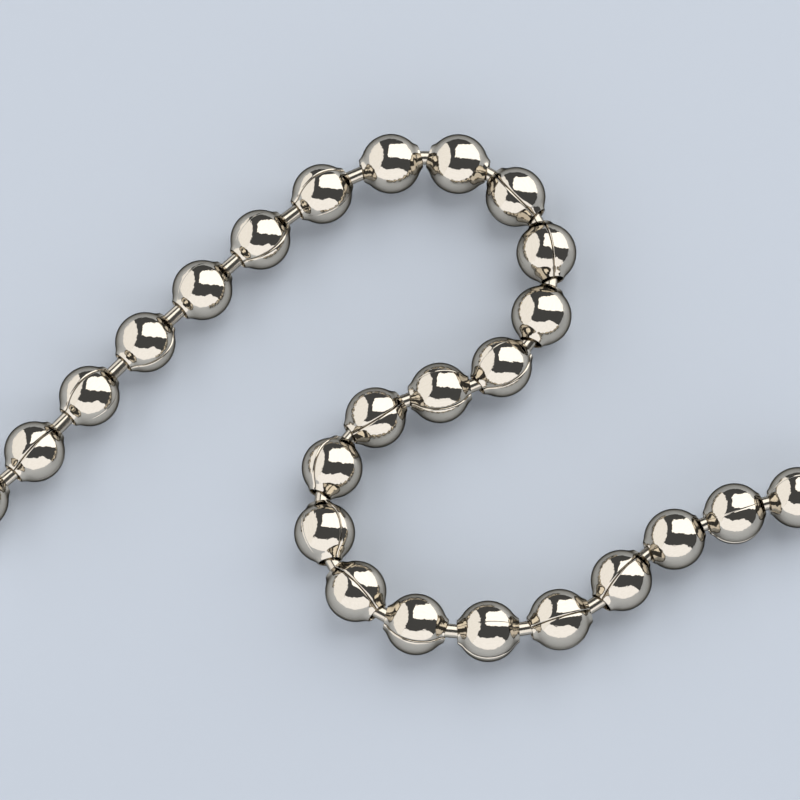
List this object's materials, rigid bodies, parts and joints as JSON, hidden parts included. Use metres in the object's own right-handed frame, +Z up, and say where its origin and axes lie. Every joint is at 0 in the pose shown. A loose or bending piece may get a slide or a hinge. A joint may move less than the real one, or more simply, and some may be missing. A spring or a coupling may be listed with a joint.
{
  "type": "roller blind ball chain",
  "caption": "Metal ball chain for a roller blind: hollow rolled balls joined by dumb-bell pins, lying in an S curve.",
  "frame": {"origin": "middle of the outline of the lying chain, on the surface that it lies on", "axes": "+X along the longer side of the S, +Y along its shorter side, +Z up from the surface; every hinge axis is vertical"},
  "size_m": [0.0648, 0.0414, 0.0045],
  "materials": {
    "ball_plating": "bright nickel plating on steel sheet, mirror polished",
    "pin_plating": "bright nickel plating on drawn steel wire"
  },
  "bodies": {
    "ball_00": {"ball_00": "ball_plating"},
    "ball_01": {"ball_01": "ball_plating"},
    "ball_02": {"ball_02": "ball_plating"},
    "ball_03": {"ball_03": "ball_plating"},
    "ball_04": {"ball_04": "ball_plating"},
    "ball_05": {"ball_05": "ball_plating"},
    "ball_06": {"ball_06": "ball_plating"},
    "ball_07": {"ball_07": "ball_plating"},
    "ball_08": {"ball_08": "ball_plating"},
    "ball_09": {"ball_09": "ball_plating"},
    "ball_10": {"ball_10": "ball_plating"},
    "ball_11": {"ball_11": "ball_plating"},
    "ball_12": {"ball_12": "ball_plating"},
    "ball_13": {"ball_13": "ball_plating"},
    "ball_14": {"ball_14": "ball_plating"},
    "ball_15": {"ball_15": "ball_plating"},
    "ball_16": {"ball_16": "ball_plating"},
    "ball_17": {"ball_17": "ball_plating"},
    "ball_18": {"ball_18": "ball_plating"},
    "ball_19": {"ball_19": "ball_plating"},
    "ball_20": {"ball_20": "ball_plating"},
    "ball_21": {"ball_21": "ball_plating"},
    "ball_22": {"ball_22": "ball_plating"},
    "ball_23": {"ball_23": "ball_plating"},
    "ball_24": {"ball_24": "ball_plating"},
    "pin_00": {"pin_00": "pin_plating"},
    "pin_01": {"pin_01": "pin_plating"},
    "pin_02": {"pin_02": "pin_plating"},
    "pin_03": {"pin_03": "pin_plating"},
    "pin_04": {"pin_04": "pin_plating"},
    "pin_05": {"pin_05": "pin_plating"},
    "pin_06": {"pin_06": "pin_plating"},
    "pin_07": {"pin_07": "pin_plating"},
    "pin_08": {"pin_08": "pin_plating"},
    "pin_09": {"pin_09": "pin_plating"},
    "pin_10": {"pin_10": "pin_plating"},
    "pin_11": {"pin_11": "pin_plating"},
    "pin_12": {"pin_12": "pin_plating"},
    "pin_13": {"pin_13": "pin_plating"},
    "pin_14": {"pin_14": "pin_plating"},
    "pin_15": {"pin_15": "pin_plating"},
    "pin_16": {"pin_16": "pin_plating"},
    "pin_17": {"pin_17": "pin_plating"},
    "pin_18": {"pin_18": "pin_plating"},
    "pin_19": {"pin_19": "pin_plating"},
    "pin_20": {"pin_20": "pin_plating"},
    "pin_21": {"pin_21": "pin_plating"},
    "pin_22": {"pin_22": "pin_plating"},
    "pin_23": {"pin_23": "pin_plating"}
  },
  "joints": [
    {"name": "pin_12_in_ball_12", "type": "hinge", "parent": "ball_12", "child": "pin_12", "pos_m": [0.00696, 0.00102, 0.00225], "axis": [0, 0, 1], "range_deg": [-6, 34]},
    {"name": "ball_13_on_pin_12", "type": "hinge", "parent": "pin_12", "child": "ball_13", "pos_m": [0.00561, 0.00042, 0.00225], "axis": [0, 0, -1], "range_deg": [-34, 6]},
    {"name": "pin_13_in_ball_13", "type": "hinge", "parent": "ball_13", "child": "pin_13", "pos_m": [0.00206, -0.00021, 0.00225], "axis": [0, 0, 1], "range_deg": [-32.25, 7.75]},
    {"name": "ball_14_on_pin_13", "type": "hinge", "parent": "pin_13", "child": "ball_14", "pos_m": [0.00052, -0.00083, 0.00225], "axis": [0, 0, -1], "range_deg": [-7.75, 32.25]},
    {"name": "pin_14_in_ball_14", "type": "hinge", "parent": "ball_14", "child": "pin_14", "pos_m": [-0.00242, -0.00285, 0.00225], "axis": [0, 0, 1], "range_deg": [-36.5, 3.5]},
    {"name": "ball_15_on_pin_14", "type": "hinge", "parent": "pin_14", "child": "ball_15", "pos_m": [-0.00346, -0.00414, 0.00225], "axis": [0, 0, -1], "range_deg": [-3.5, 36.5]},
    {"name": "pin_15_in_ball_15", "type": "hinge", "parent": "ball_15", "child": "pin_15", "pos_m": [-0.00483, -0.00743, 0.00225], "axis": [0, 0, 1], "range_deg": [-36.5, 3.5]},
    {"name": "ball_16_on_pin_15", "type": "hinge", "parent": "pin_15", "child": "ball_16", "pos_m": [-0.005, -0.00909, 0.00225], "axis": [0, 0, -1], "range_deg": [-3.5, 36.5]},
    {"name": "pin_16_in_ball_16", "type": "hinge", "parent": "ball_16", "child": "pin_16", "pos_m": [-0.00435, -0.01259, 0.00225], "axis": [0, 0, 1], "range_deg": [-36.5, 3.5]},
    {"name": "ball_17_on_pin_16", "type": "hinge", "parent": "pin_16", "child": "ball_17", "pos_m": [-0.0036, -0.01407, 0.00225], "axis": [0, 0, -1], "range_deg": [-3.5, 36.5]},
    {"name": "pin_17_in_ball_17", "type": "hinge", "parent": "ball_17", "child": "pin_17", "pos_m": [-0.00114, -0.01665, 0.00225], "axis": [0, 0, 1], "range_deg": [-36.5, 3.5]},
    {"name": "ball_18_on_pin_17", "type": "hinge", "parent": "pin_17", "child": "ball_18", "pos_m": [0.00029, -0.01748, 0.00225], "axis": [0, 0, -1], "range_deg": [-3.5, 36.5]},
    {"name": "pin_18_in_ball_18", "type": "hinge", "parent": "ball_18", "child": "pin_18", "pos_m": [0.0037, -0.0183, 0.00225], "axis": [0, 0, 1], "range_deg": [-27.75, 12.25]},
    {"name": "ball_19_on_pin_18", "type": "hinge", "parent": "pin_18", "child": "ball_19", "pos_m": [0.00558, -0.01849, 0.00225], "axis": [0, 0, -1], "range_deg": [-12.25, 27.75]},
    {"name": "pin_19_in_ball_19", "type": "hinge", "parent": "ball_19", "child": "pin_19", "pos_m": [0.00902, -0.01837, 0.00225], "axis": [0, 0, 1], "range_deg": [-27.75, 12.25]},
    {"name": "ball_20_on_pin_19", "type": "hinge", "parent": "pin_19", "child": "ball_20", "pos_m": [0.01089, -0.01805, 0.00225], "axis": [0, 0, -1], "range_deg": [-12.25, 27.75]},
    {"name": "pin_20_in_ball_20", "type": "hinge", "parent": "ball_20", "child": "pin_20", "pos_m": [0.01404, -0.01705, 0.00225], "axis": [0, 0, 1], "range_deg": [-35, 3]},
    {"name": "ball_21_on_pin_20", "type": "hinge", "parent": "pin_20", "child": "ball_21", "pos_m": [0.01605, -0.01572, 0.00225], "axis": [0, 0, -1], "range_deg": [-3, 35]},
    {"name": "pin_21_in_ball_21", "type": "hinge", "parent": "ball_21", "child": "pin_21", "pos_m": [0.01827, -0.01312, 0.00225], "axis": [0, 0, 1], "range_deg": [-9.5, 30.5]},
    {"name": "ball_22_on_pin_21", "type": "hinge", "parent": "pin_21", "child": "ball_22", "pos_m": [0.0194, -0.01221, 0.00225], "axis": [0, 0, -1], "range_deg": [-30.5, 9.5]},
    {"name": "pin_22_in_ball_22", "type": "hinge", "parent": "ball_22", "child": "pin_22", "pos_m": [0.02275, -0.01039, 0.00225], "axis": [0, 0, 1], "range_deg": [-13.5, 22.5]},
    {"name": "ball_23_on_pin_22", "type": "hinge", "parent": "pin_22", "child": "ball_23", "pos_m": [0.0236, -0.01001, 0.00225], "axis": [0, 0, -1], "range_deg": [-22.5, 13.5]},
    {"name": "pin_23_in_ball_23", "type": "hinge", "parent": "ball_23", "child": "pin_23", "pos_m": [0.02732, -0.0087, 0.00225], "axis": [0, 0, 1], "range_deg": [-13.5, 22.5]},
    {"name": "ball_24_on_pin_23", "type": "hinge", "parent": "pin_23", "child": "ball_24", "pos_m": [0.02822, -0.00845, 0.00225], "axis": [0, 0, -1], "range_deg": [-22.5, 13.5]},
    {"name": "pin_11_in_ball_12", "type": "hinge", "parent": "ball_12", "child": "pin_11", "pos_m": [0.00982, 0.00326, 0.00225], "axis": [0, 0, 1], "range_deg": [-35.75, 4.25]},
    {"name": "ball_11_on_pin_11", "type": "hinge", "parent": "pin_11", "child": "ball_11", "pos_m": [0.01076, 0.00453, 0.00225], "axis": [0, 0, -1], "range_deg": [-4.25, 35.75]},
    {"name": "pin_10_in_ball_11", "type": "hinge", "parent": "ball_11", "child": "pin_10", "pos_m": [0.01202, 0.00791, 0.00225], "axis": [0, 0, 1], "range_deg": [-35.75, 4.25]},
    {"name": "ball_10_on_pin_10", "type": "hinge", "parent": "pin_10", "child": "ball_10", "pos_m": [0.01215, 0.00949, 0.00225], "axis": [0, 0, -1], "range_deg": [-4.25, 35.75]},
    {"name": "pin_09_in_ball_10", "type": "hinge", "parent": "ball_10", "child": "pin_09", "pos_m": [0.01146, 0.01302, 0.00225], "axis": [0, 0, 1], "range_deg": [-35.75, 4.25]},
    {"name": "ball_09_on_pin_09", "type": "hinge", "parent": "pin_09", "child": "ball_09", "pos_m": [0.01075, 0.01444, 0.00225], "axis": [0, 0, -1], "range_deg": [-4.25, 35.75]},
    {"name": "pin_08_in_ball_09", "type": "hinge", "parent": "ball_09", "child": "pin_08", "pos_m": [0.00832, 0.01709, 0.00225], "axis": [0, 0, 1], "range_deg": [-35.75, 4.25]},
    {"name": "ball_08_on_pin_08", "type": "hinge", "parent": "pin_08", "child": "ball_08", "pos_m": [0.00697, 0.01793, 0.00225], "axis": [0, 0, -1], "range_deg": [-4.25, 35.75]},
    {"name": "pin_07_in_ball_08", "type": "hinge", "parent": "ball_08", "child": "pin_07", "pos_m": [0.00351, 0.01892, 0.00225], "axis": [0, 0, 1], "range_deg": [-35.75, 4.25]},
    {"name": "ball_07_on_pin_07", "type": "hinge", "parent": "pin_07", "child": "ball_07", "pos_m": [0.00193, 0.01893, 0.00225], "axis": [0, 0, -1], "range_deg": [-4.25, 35.75]},
    {"name": "pin_06_in_ball_07", "type": "hinge", "parent": "ball_07", "child": "pin_06", "pos_m": [-0.00124, 0.01805, 0.00225], "axis": [0, 0, 1], "range_deg": [-26.25, 6.75]},
    {"name": "ball_06_on_pin_06", "type": "hinge", "parent": "pin_06", "child": "ball_06", "pos_m": [-0.00377, 0.01685, 0.00225], "axis": [0, 0, -1], "range_deg": [-6.75, 26.25]},
    {"name": "pin_05_in_ball_06", "type": "hinge", "parent": "ball_06", "child": "pin_05", "pos_m": [-0.00614, 0.0152, 0.00225], "axis": [0, 0, 1], "range_deg": [-18.75, 11.25]},
    {"name": "ball_05_on_pin_05", "type": "hinge", "parent": "pin_05", "child": "ball_05", "pos_m": [-0.00855, 0.01326, 0.00225], "axis": [0, 0, -1], "range_deg": [-11.25, 18.75]},
    {"name": "pin_04_in_ball_05", "type": "hinge", "parent": "ball_05", "child": "pin_04", "pos_m": [-0.01062, 0.01136, 0.00225], "axis": [0, 0, 1], "range_deg": [-15.75, 14.25]},
    {"name": "ball_04_on_pin_04", "type": "hinge", "parent": "pin_04", "child": "ball_04", "pos_m": [-0.01287, 0.00925, 0.00225], "axis": [0, 0, -1], "range_deg": [-14.25, 15.75]},
    {"name": "pin_03_in_ball_04", "type": "hinge", "parent": "ball_04", "child": "pin_03", "pos_m": [-0.0149, 0.00729, 0.00225], "axis": [0, 0, 1], "range_deg": [-15.75, 14.25]},
    {"name": "ball_03_on_pin_03", "type": "hinge", "parent": "pin_03", "child": "ball_03", "pos_m": [-0.01709, 0.00512, 0.00225], "axis": [0, 0, -1], "range_deg": [-14.25, 15.75]},
    {"name": "pin_02_in_ball_03", "type": "hinge", "parent": "ball_03", "child": "pin_02", "pos_m": [-0.01906, 0.00311, 0.00225], "axis": [0, 0, 1], "range_deg": [-15.75, 14.25]},
    {"name": "ball_02_on_pin_02", "type": "hinge", "parent": "pin_02", "child": "ball_02", "pos_m": [-0.02119, 0.00088, 0.00225], "axis": [0, 0, -1], "range_deg": [-14.25, 15.75]},
    {"name": "pin_01_in_ball_02", "type": "hinge", "parent": "ball_02", "child": "pin_01", "pos_m": [-0.02311, -0.00118, 0.00225], "axis": [0, 0, 1], "range_deg": [-15.75, 14.25]},
    {"name": "ball_01_on_pin_01", "type": "hinge", "parent": "pin_01", "child": "ball_01", "pos_m": [-0.02519, -0.00346, 0.00225], "axis": [0, 0, -1], "range_deg": [-14.25, 15.75]},
    {"name": "pin_00_in_ball_01", "type": "hinge", "parent": "ball_01", "child": "pin_00", "pos_m": [-0.02718, -0.00571, 0.00225], "axis": [0, 0, 1], "range_deg": [-13.25, 24.75]},
    {"name": "ball_00_on_pin_00", "type": "hinge", "parent": "pin_00", "child": "ball_00", "pos_m": [-0.02891, -0.00731, 0.00225], "axis": [0, 0, -1], "range_deg": [-24.75, 13.25]}
  ]
}
